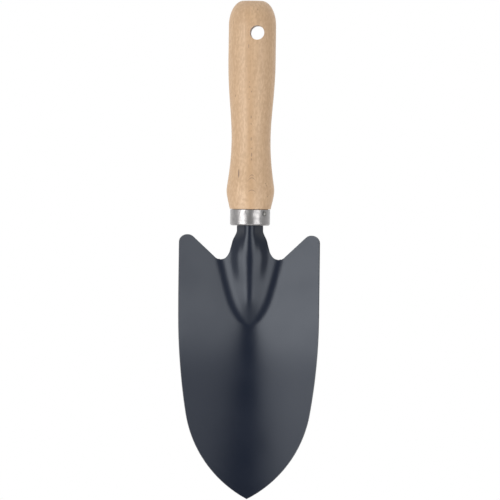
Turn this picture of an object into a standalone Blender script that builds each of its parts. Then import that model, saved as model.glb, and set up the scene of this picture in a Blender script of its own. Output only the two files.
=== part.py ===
"""Garden trowel with a pressed steel blade and a turned hardwood handle.

Lengths are in metres and +Z points up. The trowel hangs upright, blade down,
with the hollow of its scoop towards -Y. The world origin is the centre of the
hanging hole. Each piece is modelled in the tool frame, whose origin is on the
handle's axis at the lower edge of the ferrule, and one empty carries them all.
"""
import math

import bmesh
import bpy
from mathutils import Vector

# Fits between pieces
FIT_GAP = 0.0003
TANG_CLEARANCE = 0.0003
PIN_CLEARANCE = 0.0003

# Blade outline, measured down from the ferrule and out from the centreline
SHEET_THICKNESS = 0.0015
RIM_THICKNESS = 0.0008
RIM_ROUNDING = 0.0004
BLADE_LENGTH = 0.1723
BLADE_WIDTH = 0.0888
NOSE_RADIUS = 0.0747
TAPER_RADIUS = 0.3623
TAPER_TURN = math.radians(9.67)
HORN_TOP = 0.0059
HORN_RADIUS = 0.0050
NOTCH_BOTTOM = 0.02145
NOTCH_SPREAD = 0.0184
NOTCH_RADIUS = 0.0055

# Scoop, pressed into the sheet
SCOOP_SETBACK = 0.0095
SCOOP_ANGLE = math.radians(24.0)
SCOOP_ROUNDING = 0.0065
OPENING_START = 0.038
OPENING_RUN = 0.058
NOSE_ANGLE = math.radians(14.2)
NOSE_START = 0.045
NOSE_ROUNDING = 0.019
NOSE_ROUNDING_POWER = 1.5
NOSE_RISE_POWER = 2
TIP_SETBACK = 0.0

# Raised ridge down the middle of the scoop
RIDGE_END = 0.063
RIDGE_ANGLE = math.radians(24.5)
RIDGE_FADE_SHARE = 0.45
CREST_SHARE = 0.22
VALLEY_FILLET = 0.0038
FLANK_STEP = 0.0012
FLANK_STEP_INNER_SHARE = 0.34
FLANK_STEP_OUTER_SHARE = 0.66
FLANK_STEP_END = 0.046

# Creased neck and rolled tang
NECK_WIDTH = 0.0168
NECK_CREST_SHARE = 0.44
NECK_SIDE_ANGLE = math.radians(60.0)
NECK_CREASE_RUN = 0.012
NECK_STRAIGHT = 0.0058
NECK_STEP_RUN = 0.0046
NECK_STEP_SHARE = 0.5
NECK_FLARE_START = 0.0075
NECK_FLARE_RUN = 0.0112
ROLL_TURN = math.radians(111.0)
TANG_LENGTH = 0.062
TANG_END_WIDTH = 0.0075
TANG_END_CHAMFER = 0.002

# Ferrule
FERRULE_LENGTH = 0.0101
FERRULE_WALL = 0.0010
FERRULE_RIM_CURL = 0.0014
FERRULE_EDGE = 0.0002
MOUTH_CLEARANCE = 0.0018

# Handle, a turned shape measured from the butt face or from the shoulder
GRIP_LENGTH = 0.1312
BUTT_FLAT_DIAMETER = 0.0114
BUTT_ROUNDING = 0.01575
PALM_DIAMETER = 0.0298
PALM_END = 0.037
PALM_REACH = 0.022
WAIST_DIAMETER = 0.02456
WAIST_TO_SHOULDER = 0.0432
WAIST_REACH = 0.0165
SWELL_DIAMETER = 0.0301
SWELL_TO_SHOULDER = 0.0118
SWELL_REACH = 0.0032
SHOULDER_STEP = 0.0003
SHOULDER_REACH = 0.0045
SHOULDER_ANGLE = math.radians(11.9)
SPIGOT_WALL = 0.0026
SPIGOT_CHAMFER = 0.0005
SOCKET_RUNOUT = 0.002
HANG_HOLE_DIAMETER = 0.0090
HANG_HOLE_FROM_BUTT = 0.0202
HANG_HOLE_OFFSET = 0.00335

# Ferrule pin
PIN_ANGLE = math.radians(48.0)
PIN_HEIGHT = 0.0075
PIN_SHANK_DIAMETER = 0.0018
PIN_LENGTH = 0.0090
PIN_POINT = 0.0012
PIN_HEAD_DIAMETER = 0.0032
PIN_HEAD_HEIGHT = 0.0008

# Mesh fineness
ROUND_STEPS = 36
HOLE_STEPS = 24
PIN_STEPS = 12
ROUNDING_POINTS = 8
GRIP_RUN_POINTS = 9
SHOULDER_RUN_POINTS = 6
CROSS_PITCH = 0.0015
FLAT_PITCH = 0.0036
NECK_PITCH = 0.0016
RIDGE_PITCH = 0.0024
NOSE_PITCH = 0.0056
TANG_PITCH = 0.0078
ARC_STEP = math.radians(15.0)
LONG_ARC_STEP = math.radians(3.4)
SLOPE_PROBE = 0.0003
SNAP = 0.0003
MERGE = 0.00002
CUTTER_MARGIN = 0.003

# How far the sheet's eased edge leans past its middle surface, where the scoop's sides slope
EDGE_LEAN = RIM_THICKNESS / 2 * math.sin(SCOOP_ANGLE)

# Radii that follow from the fits, from the tang outwards
NECK_RADIUS = (NECK_WIDTH - SHEET_THICKNESS) / 2
TANG_END_RADIUS = (TANG_END_WIDTH - SHEET_THICKNESS) / 2
SOCKET_RADIUS = NECK_WIDTH / 2 + TANG_CLEARANCE
SOCKET_END_RADIUS = TANG_END_WIDTH / 2 + TANG_CLEARANCE
SPIGOT_RADIUS = SOCKET_RADIUS + SPIGOT_WALL
FERRULE_BORE_RADIUS = SPIGOT_RADIUS + FIT_GAP
FERRULE_RADIUS = FERRULE_BORE_RADIUS + FERRULE_WALL
MOUTH_RADIUS = NECK_WIDTH / 2 + MOUTH_CLEARANCE
SHOULDER_RADIUS = FERRULE_RADIUS + SHOULDER_STEP

# Heights in the tool frame
SHOULDER_Z = FERRULE_LENGTH + FIT_GAP
BUTT_Z = SHOULDER_Z + GRIP_LENGTH
SPIGOT_END_Z = FERRULE_WALL + FIT_GAP
HANG_HOLE_Z = BUTT_Z - HANG_HOLE_FROM_BUTT


def clear_scene():
    """Remove every object, so that the file can be run again."""
    for obj in list(bpy.data.objects):
        bpy.data.objects.remove(obj, do_unlink=True)


def new_collection(name):
    """Make a collection under the scene's own."""
    collection = bpy.data.collections.new(name)
    bpy.context.scene.collection.children.link(collection)
    return collection


def new_material(name, colour, roughness, metallic):
    """Make a plain Principled material."""
    material = bpy.data.materials.new(name)
    material.use_nodes = True
    shader = material.node_tree.nodes["Principled BSDF"]
    shader.inputs["Base Color"].default_value = (*colour, 1.0)
    shader.inputs["Roughness"].default_value = roughness
    shader.inputs["Metallic"].default_value = metallic
    return material


def add_object(name, bm, collection, parent, material=None):
    """Turn a bmesh into a named object that rides on the tool frame."""
    mesh = bpy.data.meshes.new(name)
    bm.to_mesh(mesh)
    bm.free()
    obj = bpy.data.objects.new(name, mesh)
    collection.objects.link(obj)
    obj.parent = parent
    if material:
        mesh.materials.append(material)
    return obj


def smooth_step(value):
    """Rise from 0 to 1 with level ends."""
    value = min(max(value, 0.0), 1.0)
    return value * value * (3.0 - 2.0 * value)


def arc_points(centre, radius, start, end, step):
    """Points along an arc, both ends included."""
    count = max(2, math.ceil(abs(end - start) / step))
    angles = [start + (end - start) * i / count for i in range(count + 1)]
    return [(centre[0] + radius * math.cos(a), centre[1] + radius * math.sin(a)) for a in angles]


def bezier_points(p0, p1, p2, p3, count):
    """Points along a cubic curve, without its first point."""
    corners = [Vector(corner) for corner in (p0, p1, p2, p3)]
    points = []
    for i in range(1, count + 1):
        t = i / count
        weights = ((1 - t) ** 3, 3 * (1 - t) ** 2 * t, 3 * (1 - t) * t ** 2, t ** 3)
        points.append(tuple(sum((w * c for w, c in zip(weights, corners)), Vector((0.0, 0.0)))))
    return points


def turned(name, profile, closed, steps, collection, parent, material=None):
    """Turn a profile of (radius, height) points about the object's Z axis."""
    bm = bmesh.new()
    verts = [bm.verts.new((radius, 0.0, height)) for radius, height in profile]
    for first, second in zip(verts, verts[1:]):
        bm.edges.new((first, second))
    if closed:
        bm.edges.new((verts[-1], verts[0]))
    obj = add_object(name, bm, collection, parent, material)
    screw = obj.modifiers.new("turn", "SCREW")
    screw.steps = steps
    screw.render_steps = steps
    screw.use_merge_vertices = True
    screw.merge_threshold = MERGE
    screw.use_smooth_shade = True
    return obj


def as_cutter(obj):
    """Show a cutter as a wire and keep it out of renders."""
    obj.hide_render = True
    obj.display_type = "WIRE"
    return obj


def cut(obj, cutter):
    """Take a cutter away from an object."""
    boolean = obj.modifiers.new("cut_" + cutter.name, "BOOLEAN")
    boolean.operation = "DIFFERENCE"
    boolean.solver = "EXACT"
    boolean.object = cutter


def bar_cutter(name, radius, length, steps, location, direction, collection, parent):
    """A round bar centred on a point, for boring a hole along a direction."""
    bm = bmesh.new()
    bmesh.ops.create_cone(bm, cap_ends=True, segments=steps, radius1=radius, radius2=radius, depth=length)
    obj = as_cutter(add_object(name, bm, collection, parent))
    obj.location = location
    obj.rotation_euler = Vector(direction).to_track_quat("Z", "Y").to_euler()
    return obj


def scoop_depth(across, down):
    """Where the scoop's middle surface lies behind the handle's axis, as its sides open towards the tip."""
    nose = max(0.0, (down - NOSE_START) / (BLADE_LENGTH - NOSE_START))
    bottom = SCOOP_SETBACK + (TIP_SETBACK - SCOOP_SETBACK) * nose ** NOSE_RISE_POWER
    rounding = SCOOP_ROUNDING + (NOSE_ROUNDING - SCOOP_ROUNDING) * nose ** NOSE_ROUNDING_POWER
    opening = smooth_step((down - OPENING_START) / OPENING_RUN)
    angle = SCOOP_ANGLE + (NOSE_ANGLE - SCOOP_ANGLE) * opening
    return bottom - math.tan(angle) * (math.hypot(across, rounding) - rounding)


def ridge_share(down):
    """How much of the ridge's run is left, from 1 at the notches to 0 at its end."""
    return min(1.0, max(0.0, (RIDGE_END - down) / (RIDGE_END - NOTCH_BOTTOM)))


def ridge_half_width(down):
    """How far the valleys lie from the ridge's crest."""
    return NOTCH_SPREAD * math.sqrt(ridge_share(down))


def ridge_strength(down):
    """Share of the ridge's full slope and fillet, which give way before its end."""
    fading = 1.0 - min(ridge_share(down) / RIDGE_FADE_SHARE, 1.0)
    return 1.0 - fading * fading


def ridge_drop(across, down):
    """How far the ridge falls away beside its crest: a rounded crest, then a flat flank with a step in it."""
    slope = math.tan(RIDGE_ANGLE) * ridge_strength(down)
    half_width = ridge_half_width(down)
    crest = CREST_SHARE * half_width
    rounded = min(across, crest)
    step_place = across / half_width - FLANK_STEP_INNER_SHARE
    step = smooth_step(step_place / (FLANK_STEP_OUTER_SHARE - FLANK_STEP_INNER_SHARE))
    step *= smooth_step((FLANK_STEP_END - down) / (FLANK_STEP_END - NOTCH_BOTTOM))
    return slope * (across - rounded + rounded * rounded / (2.0 * crest)) + FLANK_STEP * step


def ridge_crest(down):
    """Depth of the ridge's crest line, so that its flanks meet the scoop in the valleys."""
    half_width = ridge_half_width(down)
    return scoop_depth(half_width, down) - ridge_drop(half_width, down)


def neck_crest(down):
    """Depth of the neck's crest line, level at the ferrule and tangent to the ridge's crest."""
    start = -NECK_RADIUS
    end = ridge_crest(NOTCH_BOTTOM)
    slope = (ridge_crest(NOTCH_BOTTOM + SLOPE_PROBE) - end) / SLOPE_PROBE
    run = NOTCH_BOTTOM - NECK_STRAIGHT
    t = min(max((down - NECK_STRAIGHT) / run, 0.0), 1.0)
    return start + (end - start) * smooth_step(t) + slope * run * (t ** 3 - t ** 2)


def blend_low(first, second, width):
    """The lower of two values, with a round transition between them."""
    overlap = max(width - abs(first - second), 0.0)
    return min(first, second) - overlap * overlap / (4.0 * width)


def scoop_surface(across, down):
    """Depth of the pressed sheet in the scoop and on its ridge."""
    if down >= RIDGE_END - MERGE:
        return scoop_depth(across, down)
    flank = ridge_crest(down) + ridge_drop(across, down)
    return blend_low(scoop_depth(across, down), flank, VALLEY_FILLET * ridge_strength(down))


def neck_opening(down):
    """How far the creased neck has opened out, in two stages: a small step and then the flare."""
    step = smooth_step((down - NECK_STRAIGHT) / NECK_STEP_RUN)
    flare = smooth_step((down - NECK_FLARE_START) / NECK_FLARE_RUN)
    return NECK_STEP_SHARE * step + (1.0 - NECK_STEP_SHARE) * flare


def rolled_section(share, radius):
    """Place on the tang's round section, at a share of its length from the crest."""
    turn = ROLL_TURN * share
    return Vector((radius * math.sin(turn), radius * (1.0 - math.cos(turn))))


def creased_section(share, radius):
    """Place on the neck's section, a tight crest and straight sides, at a share of its length."""
    crest = NECK_CREST_SHARE * radius
    crest_length = crest * NECK_SIDE_ANGLE
    side_length = (radius - crest * math.sin(NECK_SIDE_ANGLE)) / math.cos(NECK_SIDE_ANGLE)
    length = share * (crest_length + side_length)
    turn = min(length, crest_length) / crest
    straight = max(length - crest_length, 0.0)
    return Vector((crest * math.sin(turn) + straight * math.cos(turn),
                   crest * (1.0 - math.cos(turn)) + straight * math.sin(turn)))


def form_neck(across, down):
    """Bend a point of the flat strip into the tang or the neck, which opens out towards the notches."""
    strip = NOTCH_SPREAD - NOTCH_RADIUS
    radius = NECK_RADIUS + (NECK_RADIUS - TANG_END_RADIUS) * min(down, 0.0) / TANG_LENGTH
    share = across / strip * NECK_RADIUS / radius
    crease = smooth_step(1.0 + down / NECK_CREASE_RUN)
    bent = rolled_section(share, radius).lerp(creased_section(share, radius), crease)
    if down <= 0.0:
        return bent.x, bent.y - radius
    opened = Vector((across, scoop_surface(across, NOTCH_BOTTOM) - ridge_crest(NOTCH_BOTTOM)))
    side, drop = bent.lerp(opened, neck_opening(down))
    return side, neck_crest(down) + drop


def form_sheet(point):
    """Move a point of the flat blank, drawn across X and down -Z, to its place on the blade."""
    across, down = point.x, -point.z
    if down < NOTCH_BOTTOM and across < NOTCH_SPREAD:
        side, depth = form_neck(across, down)
    else:
        side, depth = across, scoop_surface(across, down)
    return Vector((side, depth, point.z))


def blank_outline():
    """Right half of the flat blank as (across, down) points, from the tip up to the tang's end."""
    half = BLADE_WIDTH / 2 - EDGE_LEAN
    taper_drop = TAPER_RADIUS * (1.0 - math.cos(TAPER_TURN))
    tip_turn = math.acos(math.cos(TAPER_TURN) - (half - taper_drop) / NOSE_RADIUS)
    nose_rise = NOSE_RADIUS * math.sin(tip_turn)
    nose_centre = (-NOSE_RADIUS * math.cos(tip_turn), BLADE_LENGTH - nose_rise)
    taper_offset = TAPER_RADIUS - NOSE_RADIUS
    taper_centre = (half - TAPER_RADIUS, nose_centre[1] - taper_offset * math.sin(TAPER_TURN))
    points = arc_points(nose_centre, NOSE_RADIUS, tip_turn, TAPER_TURN, LONG_ARC_STEP)
    points += arc_points(taper_centre, TAPER_RADIUS, TAPER_TURN, 0.0, LONG_ARC_STEP)[1:]

    horn = Vector((half - HORN_RADIUS, HORN_TOP + HORN_RADIUS))
    notch = Vector((NOTCH_SPREAD, NOTCH_BOTTOM - NOTCH_RADIUS))
    gap = notch - horn
    bearing = math.atan2(gap.y, gap.x)
    opening = math.acos((HORN_RADIUS + NOTCH_RADIUS) / gap.length)
    horn_end = bearing + opening - 2.0 * math.pi
    points += arc_points(horn, HORN_RADIUS, 0.0, horn_end, ARC_STEP)
    notch_start = horn_end + math.pi
    points += arc_points(notch, NOTCH_RADIUS, notch_start, math.pi, ARC_STEP)

    strip = NOTCH_SPREAD - NOTCH_RADIUS
    strip_end = strip * TANG_END_RADIUS / NECK_RADIUS
    points.append((strip, 0.0))
    points.append((strip_end, -TANG_LENGTH + TANG_END_CHAMFER))
    points.append((strip_end - TANG_END_CHAMFER, -TANG_LENGTH))
    points.append((0.0, -TANG_LENGTH))
    return points


def spaced(start, end, pitch):
    """Evenly spaced values after the start, up to the end."""
    count = max(1, round((end - start) / pitch))
    return [start + (end - start) * (i + 1) / count for i in range(count)]


def grid_lines():
    """Lines that divide the blank, across it and down it, close together where it bends."""
    across = spaced(0.0, NOTCH_SPREAD, CROSS_PITCH)
    across += spaced(NOTCH_SPREAD, BLADE_WIDTH / 2 - EDGE_LEAN, FLAT_PITCH)[:-1]
    down = spaced(-TANG_LENGTH, 0.0, TANG_PITCH)
    down += spaced(0.0, NOTCH_BOTTOM, NECK_PITCH)
    down += spaced(NOTCH_BOTTOM, RIDGE_END, RIDGE_PITCH)
    down += spaced(RIDGE_END, BLADE_LENGTH, NOSE_PITCH)[:-1]
    return across, down


def slice_sheet(bm, place, normal, keep_right=False):
    """Divide the flat blank along a plane, and drop what lies left of it if asked."""
    geometry = bm.verts[:] + bm.edges[:] + bm.faces[:]
    bmesh.ops.bisect_plane(bm, geom=geometry, dist=SNAP, plane_co=place, plane_no=normal, clear_inner=keep_right)


def weigh_rim(bm):
    """Weigh the blank's points for its thickness, 0 along the cut rim and 1 inside it."""
    weights = bm.verts.layers.deform.verify()
    for vert in bm.verts:
        vert[weights][0] = 1.0
    for edge in bm.edges:
        if edge.is_boundary and max(vert.co.x for vert in edge.verts) > SNAP:
            for vert in edge.verts:
                vert[weights][0] = 0.0


def make_blade(collection, parent, material):
    """Cut a flat blank with an eased rim, divide its right half, press it, mirror it and thicken it."""
    bm = bmesh.new()
    right = blank_outline()
    left = [(-across, down) for across, down in reversed(right[1:-1])]
    blank = bm.faces.new([bm.verts.new((across, 0.0, -down)) for across, down in right + left])
    bmesh.ops.inset_region(bm, faces=[blank], thickness=RIM_ROUNDING, use_even_offset=True)
    slice_sheet(bm, (0.0, 0.0, 0.0), (1.0, 0.0, 0.0), keep_right=True)
    across_lines, down_lines = grid_lines()
    for value in across_lines:
        slice_sheet(bm, (value, 0.0, 0.0), (1.0, 0.0, 0.0))
    for value in down_lines:
        slice_sheet(bm, (0.0, 0.0, -value), (0.0, 0.0, 1.0))
    bmesh.ops.triangulate(bm, faces=bm.faces[:])
    weigh_rim(bm)
    for vert in bm.verts:
        vert.co = form_sheet(vert.co)
    bmesh.ops.recalc_face_normals(bm, faces=bm.faces[:])
    for face in bm.faces:
        face.smooth = True
    obj = add_object("blade", bm, collection, parent, material)
    inside = obj.vertex_groups.new(name="inside_the_rim")
    mirror = obj.modifiers.new("other_half", "MIRROR")
    mirror.use_axis = (True, False, False)
    mirror.merge_threshold = MERGE
    thicken = obj.modifiers.new("sheet", "SOLIDIFY")
    thicken.thickness = SHEET_THICKNESS
    thicken.offset = 0.0
    thicken.use_even_offset = True
    thicken.vertex_group = inside.name
    thicken.thickness_vertex_group = RIM_THICKNESS / SHEET_THICKNESS
    return obj


def handle_profile():
    """Outer side of the turned handle, from the butt's centre down to the spigot's end."""
    palm = PALM_DIAMETER / 2
    waist = WAIST_DIAMETER / 2
    swell = SWELL_DIAMETER / 2
    flat = BUTT_FLAT_DIAMETER / 2
    round_end_z = BUTT_Z - BUTT_ROUNDING
    palm_end_z = BUTT_Z - PALM_END
    waist_z = SHOULDER_Z + WAIST_TO_SHOULDER
    swell_z = SHOULDER_Z + SWELL_TO_SHOULDER
    points = [(0.0, BUTT_Z)]
    for i in range(ROUNDING_POINTS + 1):
        turn = math.pi / 2 * (1 - i / ROUNDING_POINTS)
        points.append((flat + (palm - flat) * math.cos(turn), round_end_z + BUTT_ROUNDING * math.sin(turn)))
    points.append((palm, palm_end_z))
    points += bezier_points(points[-1], (palm, palm_end_z - PALM_REACH),
                            (waist, waist_z + WAIST_REACH), (waist, waist_z), GRIP_RUN_POINTS)
    points += bezier_points(points[-1], (waist, waist_z - WAIST_REACH),
                            (swell, swell_z + SWELL_REACH), (swell, swell_z), GRIP_RUN_POINTS)
    slope_end = (SHOULDER_RADIUS + math.tan(SHOULDER_ANGLE) * SHOULDER_REACH, SHOULDER_Z + SHOULDER_REACH)
    points += bezier_points(points[-1], (swell, swell_z - SWELL_REACH), slope_end,
                            (SHOULDER_RADIUS, SHOULDER_Z), SHOULDER_RUN_POINTS)
    points.append((SPIGOT_RADIUS, SHOULDER_Z))
    points.append((SPIGOT_RADIUS, SPIGOT_END_Z + SPIGOT_CHAMFER))
    points.append((SPIGOT_RADIUS - SPIGOT_CHAMFER, SPIGOT_END_Z))
    points.append((0.0, SPIGOT_END_Z))
    return points


def socket_profile():
    """Tapered socket for the tang, from its drilled point down past the spigot's end."""
    end_z = TANG_LENGTH + TANG_CLEARANCE
    taper = (SOCKET_RADIUS - SOCKET_END_RADIUS) / TANG_LENGTH
    mouth_z = SPIGOT_END_Z - CUTTER_MARGIN
    mouth_radius = SOCKET_RADIUS - taper * mouth_z
    return [(0.0, end_z + SOCKET_RUNOUT), (SOCKET_END_RADIUS, end_z), (mouth_radius, mouth_z), (0.0, mouth_z)]


def make_handle(collection, cutters, parent, material, pin_bore):
    """Turn the handle, bore the hanging hole and the socket, and drill for the pin."""
    obj = turned("handle", handle_profile(), False, ROUND_STEPS, collection, parent, material)
    socket = as_cutter(turned("socket", socket_profile(), False, ROUND_STEPS, cutters, parent))
    hole = bar_cutter("hang_hole", HANG_HOLE_DIAMETER / 2, PALM_DIAMETER + CUTTER_MARGIN, HOLE_STEPS,
                      (HANG_HOLE_OFFSET, 0.0, HANG_HOLE_Z), (0.0, 1.0, 0.0), cutters, parent)
    cut(obj, socket)
    cut(obj, hole)
    cut(obj, pin_bore)
    return obj


def ferrule_profile():
    """Closed section of the ferrule's wall, down its outer side, round the curled rim and up the bore."""
    curl_centre = (FERRULE_RADIUS - FERRULE_RIM_CURL, FERRULE_RIM_CURL)
    points = [(FERRULE_RADIUS - FERRULE_EDGE, FERRULE_LENGTH), (FERRULE_RADIUS, FERRULE_LENGTH - FERRULE_EDGE)]
    points += arc_points(curl_centre, FERRULE_RIM_CURL, 0.0, -math.pi / 2, ARC_STEP)
    points += [(MOUTH_RADIUS, 0.0), (MOUTH_RADIUS, FERRULE_WALL), (FERRULE_BORE_RADIUS, FERRULE_WALL)]
    points.append((FERRULE_BORE_RADIUS, FERRULE_LENGTH))
    return points


def pin_profile():
    """Domed head, straight shank and point."""
    head = PIN_HEAD_DIAMETER / 2
    shank = PIN_SHANK_DIAMETER / 2
    dome_radius = (head ** 2 + PIN_HEAD_HEIGHT ** 2) / (2 * PIN_HEAD_HEIGHT)
    rim_angle = math.asin((dome_radius - PIN_HEAD_HEIGHT) / dome_radius)
    dome = arc_points((0.0, PIN_HEAD_HEIGHT - dome_radius), dome_radius, math.pi / 2, rim_angle, ARC_STEP / 2)
    shank_points = [(shank, 0.0), (shank, PIN_POINT - PIN_LENGTH), (0.0, -PIN_LENGTH)]
    return [(0.0, PIN_HEAD_HEIGHT)] + dome[1:] + shank_points


def main():
    """Build the four pieces of the trowel."""
    clear_scene()
    trowel = new_collection("garden_trowel")
    cutters = new_collection("cutters")
    frame = bpy.data.objects.new("tool_frame", None)
    trowel.objects.link(frame)
    frame.location = (-HANG_HOLE_OFFSET, 0.0, -HANG_HOLE_Z)

    painted_steel = new_material("painted_steel", (0.075, 0.085, 0.105), 0.45, 0.0)
    hardwood = new_material("hardwood", (0.66, 0.45, 0.27), 0.42, 0.0)
    plated_steel = new_material("plated_steel", (0.62, 0.61, 0.58), 0.22, 1.0)

    pin_out = Vector((math.sin(PIN_ANGLE), -math.cos(PIN_ANGLE), 0.0))
    pin_seat = pin_out * (FERRULE_RADIUS + FIT_GAP) + Vector((0.0, 0.0, PIN_HEIGHT))
    bore_length = PIN_LENGTH + 2 * CUTTER_MARGIN
    pin_bore = bar_cutter("pin_bore", PIN_SHANK_DIAMETER / 2 + PIN_CLEARANCE, bore_length, PIN_STEPS,
                          pin_seat - pin_out * PIN_LENGTH / 2, pin_out, cutters, frame)

    blade = make_blade(trowel, frame, painted_steel)
    cut(blade, pin_bore)
    make_handle(trowel, cutters, frame, hardwood, pin_bore)
    ferrule = turned("ferrule", ferrule_profile(), True, ROUND_STEPS, trowel, frame, plated_steel)
    cut(ferrule, pin_bore)
    pin = turned("ferrule_pin", pin_profile(), False, PIN_STEPS, trowel, frame, plated_steel)
    pin.location = pin_seat
    pin.rotation_euler = pin_out.to_track_quat("Z", "Y").to_euler()


main()
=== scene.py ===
# %% [markdown]
# # A garden trowel, pressed and turned
#
# A hand trowel comes apart into four pieces: a blade pressed from one sheet of
# steel, a turned wooden handle, a short plated tube that stops the wood from
# splitting, and the small pin that locks them together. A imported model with
# plain solids already gives each piece its place and size. This lesson makes
# the fine surface of each piece, then its finish, and then the studio.
#
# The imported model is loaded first, because every piece is placed by it.

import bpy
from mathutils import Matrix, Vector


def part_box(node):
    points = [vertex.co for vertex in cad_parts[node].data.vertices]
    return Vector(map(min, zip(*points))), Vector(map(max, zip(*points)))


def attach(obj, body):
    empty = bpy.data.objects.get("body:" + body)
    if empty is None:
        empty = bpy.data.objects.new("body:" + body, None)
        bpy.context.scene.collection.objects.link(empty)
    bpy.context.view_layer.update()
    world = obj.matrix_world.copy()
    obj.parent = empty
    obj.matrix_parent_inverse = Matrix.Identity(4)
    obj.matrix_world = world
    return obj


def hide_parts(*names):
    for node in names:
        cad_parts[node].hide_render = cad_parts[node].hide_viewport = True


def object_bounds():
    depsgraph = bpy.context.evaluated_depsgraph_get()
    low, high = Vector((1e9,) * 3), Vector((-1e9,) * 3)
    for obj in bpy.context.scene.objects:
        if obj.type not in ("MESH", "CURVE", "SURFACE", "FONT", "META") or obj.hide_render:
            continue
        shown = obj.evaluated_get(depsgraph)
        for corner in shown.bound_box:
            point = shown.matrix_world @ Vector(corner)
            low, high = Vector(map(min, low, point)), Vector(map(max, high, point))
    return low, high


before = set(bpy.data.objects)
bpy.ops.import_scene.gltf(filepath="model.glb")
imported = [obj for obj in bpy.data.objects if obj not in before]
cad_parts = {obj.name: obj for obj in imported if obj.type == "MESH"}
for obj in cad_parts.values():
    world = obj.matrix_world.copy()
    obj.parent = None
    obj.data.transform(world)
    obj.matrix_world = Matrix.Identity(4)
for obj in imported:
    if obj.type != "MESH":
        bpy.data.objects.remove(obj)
solid_low, solid_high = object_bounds()
print("nodes:", sorted(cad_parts))
print("size of the solids, mm:", [round(1000 * (b - a), 1) for a, b in zip(solid_low, solid_high)])

# %% Modules, and the tool's own origin
import math

import bmesh
import bpy
from mathutils import Euler, Matrix, Vector, noise

ferrule_low, ferrule_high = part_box("ferrule")
axis_x = (ferrule_low.x + ferrule_high.x) / 2
axis_y = (ferrule_low.y + ferrule_high.y) / 2
TOOL_ORIGIN = Vector((axis_x, axis_y, ferrule_low.z))
print("lower edge of the ferrule on the handle's axis:", tuple(round(v, 5) for v in TOOL_ORIGIN))

# %% [markdown]
# ## A few tools for making pieces
#
# Every piece is drawn around one origin, on the handle's axis at the ferrule's
# lower edge, and then moved there as a whole. Modifiers do the shaping. Where
# later steps bend or cut the result by hand, the modifiers are settled into a
# plain mesh first, which is the same as Apply in Blender's menus.

# %% Collections and objects
pieces = bpy.data.collections.new("trowel_pieces")
bpy.context.scene.collection.children.link(pieces)
studio = bpy.data.collections.new("studio")
bpy.context.scene.collection.children.link(studio)


def piece_from(bm, name, collection=pieces):
    """Turn a bmesh into an object that stands at the tool's origin."""
    mesh = bpy.data.meshes.new(name)
    bm.to_mesh(mesh)
    bm.free()
    obj = bpy.data.objects.new(name, mesh)
    collection.objects.link(obj)
    obj.location = TOOL_ORIGIN
    return obj


def settle(obj):
    """Put an object's modifiers into its mesh for good."""
    bpy.context.view_layer.update()
    shaped = obj.evaluated_get(bpy.context.evaluated_depsgraph_get())
    mesh = bpy.data.meshes.new_from_object(shaped)
    obj.modifiers.clear()
    obj.data = mesh
    return mesh


SHEET_CORNER = math.radians(60.0)
TURNED_CORNER = math.radians(40.0)


def finish_surface(obj, corner):
    """Shade an object smooth, but keep corners crisp where faces meet at more than an angle."""
    mesh = obj.data
    mesh.shade_smooth()
    mesh.set_sharp_from_angle(angle=corner)
    print(obj.name, "has", len(mesh.polygons), "faces")


# %% Curves as lists of points
def smooth_step(value):
    """Rise from 0 to 1 with level ends."""
    value = min(max(value, 0.0), 1.0)
    return value * value * (3.0 - 2.0 * value)


def arc_points(centre, radius, start, end, step):
    """Points along an arc, both ends included."""
    count = max(2, math.ceil(abs(end - start) / step))
    angles = [start + (end - start) * i / count for i in range(count + 1)]
    return [(centre[0] + radius * math.cos(a), centre[1] + radius * math.sin(a)) for a in angles]


def bezier_points(p0, p1, p2, p3, count):
    """Points along a cubic curve, without its first point."""
    corners = [Vector(corner) for corner in (p0, p1, p2, p3)]
    points = []
    for i in range(1, count + 1):
        t = i / count
        weights = ((1 - t) ** 3, 3 * (1 - t) ** 2 * t, 3 * (1 - t) * t ** 2, t ** 3)
        points.append(tuple(sum((w * c for w, c in zip(weights, corners)), Vector((0.0, 0.0)))))
    return points


def spaced(start, end, pitch):
    """Evenly spaced values after the start, up to the end."""
    count = max(1, round((end - start) / pitch))
    return [start + (end - start) * (i + 1) / count for i in range(count)]


# %% Turning on a lathe
WELD = 0.00001


def turned(name, profile, steps, closed=False):
    """Turn a profile of (radius, height) points about the handle's axis."""
    bm = bmesh.new()
    verts = [bm.verts.new((radius, 0.0, height)) for radius, height in profile]
    for first, second in zip(verts, verts[1:]):
        bm.edges.new((first, second))
    if closed:
        bm.edges.new((verts[-1], verts[0]))
    obj = piece_from(bm, name)
    screw = obj.modifiers.new("turn", "SCREW")
    screw.steps = steps
    screw.render_steps = steps
    screw.use_merge_vertices = True
    screw.merge_threshold = WELD
    return obj


def cut_away(obj, *cutters):
    """Cut shapes out of an object, then remove the cutters."""
    for cutter in cutters:
        boolean = obj.modifiers.new("cut", "BOOLEAN")
        boolean.operation = "DIFFERENCE"
        boolean.solver = "EXACT"
        boolean.object = cutter
    settle(obj)
    for cutter in cutters:
        bpy.data.objects.remove(cutter, do_unlink=True)


# %% [markdown]
# ## The flat blank of the blade
#
# Blade, neck and tang of a pressed trowel are one piece of sheet steel. The
# factory stamps a flat blank, and a press then bends it. A modeller could push
# points of a grid about until it looks right, but the seam between scoop, ridge
# and neck would always show. Drawing the blank first and bending it with one
# function, as the press does, keeps the sheet smooth and its edges true.
#
# The outline is drawn for the right half: a nose arc from the tip, a long taper
# arc, the rounded horn, the notch beside the neck, and the strip that becomes
# neck and tang.

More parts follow.
